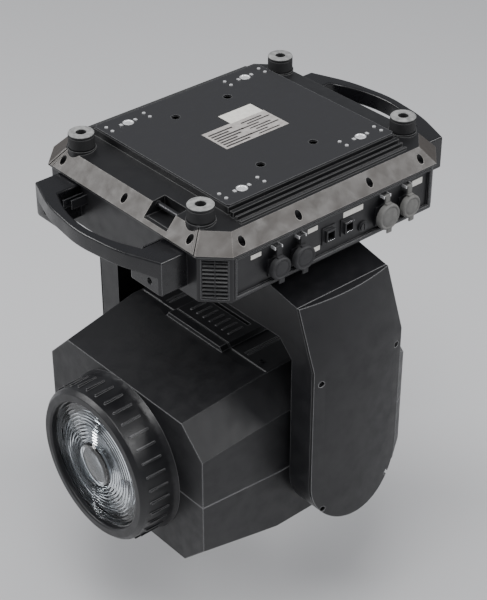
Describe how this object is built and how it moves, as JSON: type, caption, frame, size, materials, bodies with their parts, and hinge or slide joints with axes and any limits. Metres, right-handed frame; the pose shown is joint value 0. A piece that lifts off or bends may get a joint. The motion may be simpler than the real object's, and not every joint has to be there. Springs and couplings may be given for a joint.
{
  "type": "moving head light",
  "caption": "Large moving head stage light hanging base up: octagonal base with feet, handles and capped sockets, two-arm yoke and a tilting head with round front lens.",
  "frame": {"origin": "centre of the four bracket sockets, on the face of the underside plate", "axes": "+Z out of the underside plate (up when the light hangs), -Y the connector side, -X the way the lens points at rest"},
  "size_m": [0.584, 0.504, 0.6075],
  "materials": {
    "black_casting": "die cast, painted satin black",
    "skirt_paint": "die cast, painted semi-gloss fine texture",
    "plate_paint": "fine texture satin",
    "black_plastic": "fine moulded texture",
    "handle_plastic": "gloss",
    "foot_rubber": "matt",
    "cap_rubber_dark": "matt",
    "cap_rubber_grey": "matt",
    "bright_steel": "bright zinc",
    "black_steel": "black oxide",
    "bare_aluminium": "milled",
    "socket_plastic": "matt",
    "lens_glass": "coated",
    "screen_glass": "gloss",
    "button_plastic": "satin",
    "board_green": "lacquered",
    "supply_steel": "satin",
    "motor_black": "satin",
    "belt_rubber": "matt",
    "fan_plastic": "matt",
    "filter_glass": "milled"
  },
  "bodies": {
    "base": {"skirt_frame": "skirt_paint", "safety_bar": "bright_steel", "base_housing": "black_casting", "corner_vents": "black_plastic", "underside_plate": "plate_paint", "socket_rivets": "bright_steel", "quarter_turn_sockets": "bright_steel", "rubber_feet": "foot_rubber", "handle_front": "handle_plastic", "handle_rear": "handle_plastic", "base_screws": "black_steel", "connector_panel": "black_casting", "data_input": "socket_plastic", "data_output": "socket_plastic", "power_inlet": "socket_plastic", "power_outlet": "socket_plastic", "network_sockets": "socket_plastic", "fuse_holder": "socket_plastic", "display_bezel": "black_plastic", "display_screen": "screen_glass", "main_board": "board_green", "power_supply": "supply_steel", "pan_bearing": "bright_steel", "pan_motor": "motor_black", "pan_belt": "belt_rubber"},
    "data_input_cap": {"data_input_cap": "cap_rubber_dark"},
    "data_output_cap": {"data_output_cap": "cap_rubber_dark"},
    "power_inlet_cap": {"power_inlet_cap": "cap_rubber_grey"},
    "power_outlet_cap": {"power_outlet_cap": "cap_rubber_grey"},
    "menu_button": {"menu_button": "button_plastic"},
    "enter_button": {"enter_button": "button_plastic"},
    "back_button": {"back_button": "button_plastic"},
    "encoder_knob": {"encoder_knob": "button_plastic"},
    "pan_drive_pulley": {"pan_drive_pulley": "bare_aluminium"},
    "yoke": {"yoke_frame": "black_casting", "pan_pulley": "bare_aluminium", "arm_cover_left": "black_plastic", "arm_cover_right": "black_plastic", "yoke_screws": "black_steel", "tilt_bearings": "bright_steel", "tilt_motor": "motor_black", "tilt_belt": "belt_rubber"},
    "pan_lock": {"pan_lock": "button_plastic"},
    "tilt_lock": {"tilt_lock": "button_plastic"},
    "tilt_drive_pulley": {"tilt_drive_pulley": "bare_aluminium"},
    "head": {"head_frame": "bare_aluminium", "head_cover_upper": "black_plastic", "head_cover_lower": "black_plastic", "head_screws": "black_steel", "front_bezel": "black_casting", "front_lens": "lens_glass", "tilt_pulley": "bare_aluminium", "guide_rails": "bright_steel", "light_engine": "bare_aluminium", "heat_sink": "bare_aluminium", "fan_frame": "fan_plastic"},
    "colour_wheel": {"colour_wheel": "filter_glass"},
    "zoom_carriage": {"zoom_carriage": "bare_aluminium", "zoom_lens": "lens_glass"},
    "fan_rotor": {"fan_rotor": "fan_plastic"}
  },
  "joints": [
    {"name": "pan", "type": "hinge", "parent": "base", "child": "yoke", "pos_m": [0, 0, -0.1], "axis": [0, 0, 1], "range_deg": [-270, 270]},
    {"name": "pan_drive", "type": "hinge", "parent": "base", "child": "pan_drive_pulley", "pos_m": [0.118, 0, -0.08], "axis": [0, 0, 1], "range_deg": [-1350, 1350]},
    {"name": "tilt", "type": "hinge", "parent": "yoke", "child": "head", "pos_m": [0, 0, -0.446], "axis": [0, 1, 0], "range_deg": [-215, 35]},
    {"name": "tilt_drive", "type": "hinge", "parent": "yoke", "child": "tilt_drive_pulley", "pos_m": [0, 0.209, -0.19], "axis": [0, 1, 0], "range_deg": [-1075, 175]},
    {"name": "data_input_cap_hinge", "type": "hinge", "parent": "base", "child": "data_input_cap", "pos_m": [-0.108, -0.1924, -0.057], "axis": [-1, 0, 0], "range_deg": [0, 100]},
    {"name": "data_output_cap_hinge", "type": "hinge", "parent": "base", "child": "data_output_cap", "pos_m": [-0.066, -0.1924, -0.057], "axis": [-1, 0, 0], "range_deg": [0, 100]},
    {"name": "power_inlet_cap_hinge", "type": "hinge", "parent": "base", "child": "power_inlet_cap", "pos_m": [0.091, -0.1924, -0.057], "axis": [-1, 0, 0], "range_deg": [0, 100]},
    {"name": "power_outlet_cap_hinge", "type": "hinge", "parent": "base", "child": "power_outlet_cap", "pos_m": [0.134, -0.1924, -0.057], "axis": [-1, 0, 0], "range_deg": [0, 100]},
    {"name": "menu_button_press", "type": "slide", "parent": "base", "child": "menu_button", "axis": [0, -1, 0], "range_m": [0, 0.0015], "stiffness_N_per_m": 400, "springref_m": -0.0005},
    {"name": "enter_button_press", "type": "slide", "parent": "base", "child": "enter_button", "axis": [0, -1, 0], "range_m": [0, 0.0015], "stiffness_N_per_m": 400, "springref_m": -0.0005},
    {"name": "back_button_press", "type": "slide", "parent": "base", "child": "back_button", "axis": [0, -1, 0], "range_m": [0, 0.0015], "stiffness_N_per_m": 400, "springref_m": -0.0005},
    {"name": "encoder_turn", "type": "hinge", "parent": "base", "child": "encoder_knob", "pos_m": [0.056, 0.2, -0.07825], "axis": [0, 1, 0], "continuous": true},
    {"name": "pan_lock_slide", "type": "slide", "parent": "yoke", "child": "pan_lock", "axis": [0, 0, -1], "range_m": [0, 0.008]},
    {"name": "tilt_lock_slide", "type": "slide", "parent": "yoke", "child": "tilt_lock", "axis": [0, 0, -1], "range_m": [0, 0.008]},
    {"name": "colour_wheel_turn", "type": "hinge", "parent": "head", "child": "colour_wheel", "pos_m": [-0.051, 0, -0.502], "axis": [1, 0, 0], "continuous": true},
    {"name": "zoom_slide", "type": "slide", "parent": "head", "child": "zoom_carriage", "axis": [1, 0, 0], "range_m": [-0.05, 0.05]},
    {"name": "fan_spin", "type": "hinge", "parent": "head", "child": "fan_rotor", "pos_m": [0.13, 0, -0.446], "axis": [1, 0, 0], "continuous": true}
  ],
  "couplings": [
    {"joint": "pan_drive", "follows": "pan", "ratio": 5},
    {"joint": "tilt_drive", "follows": "tilt", "ratio": 5}
  ]
}
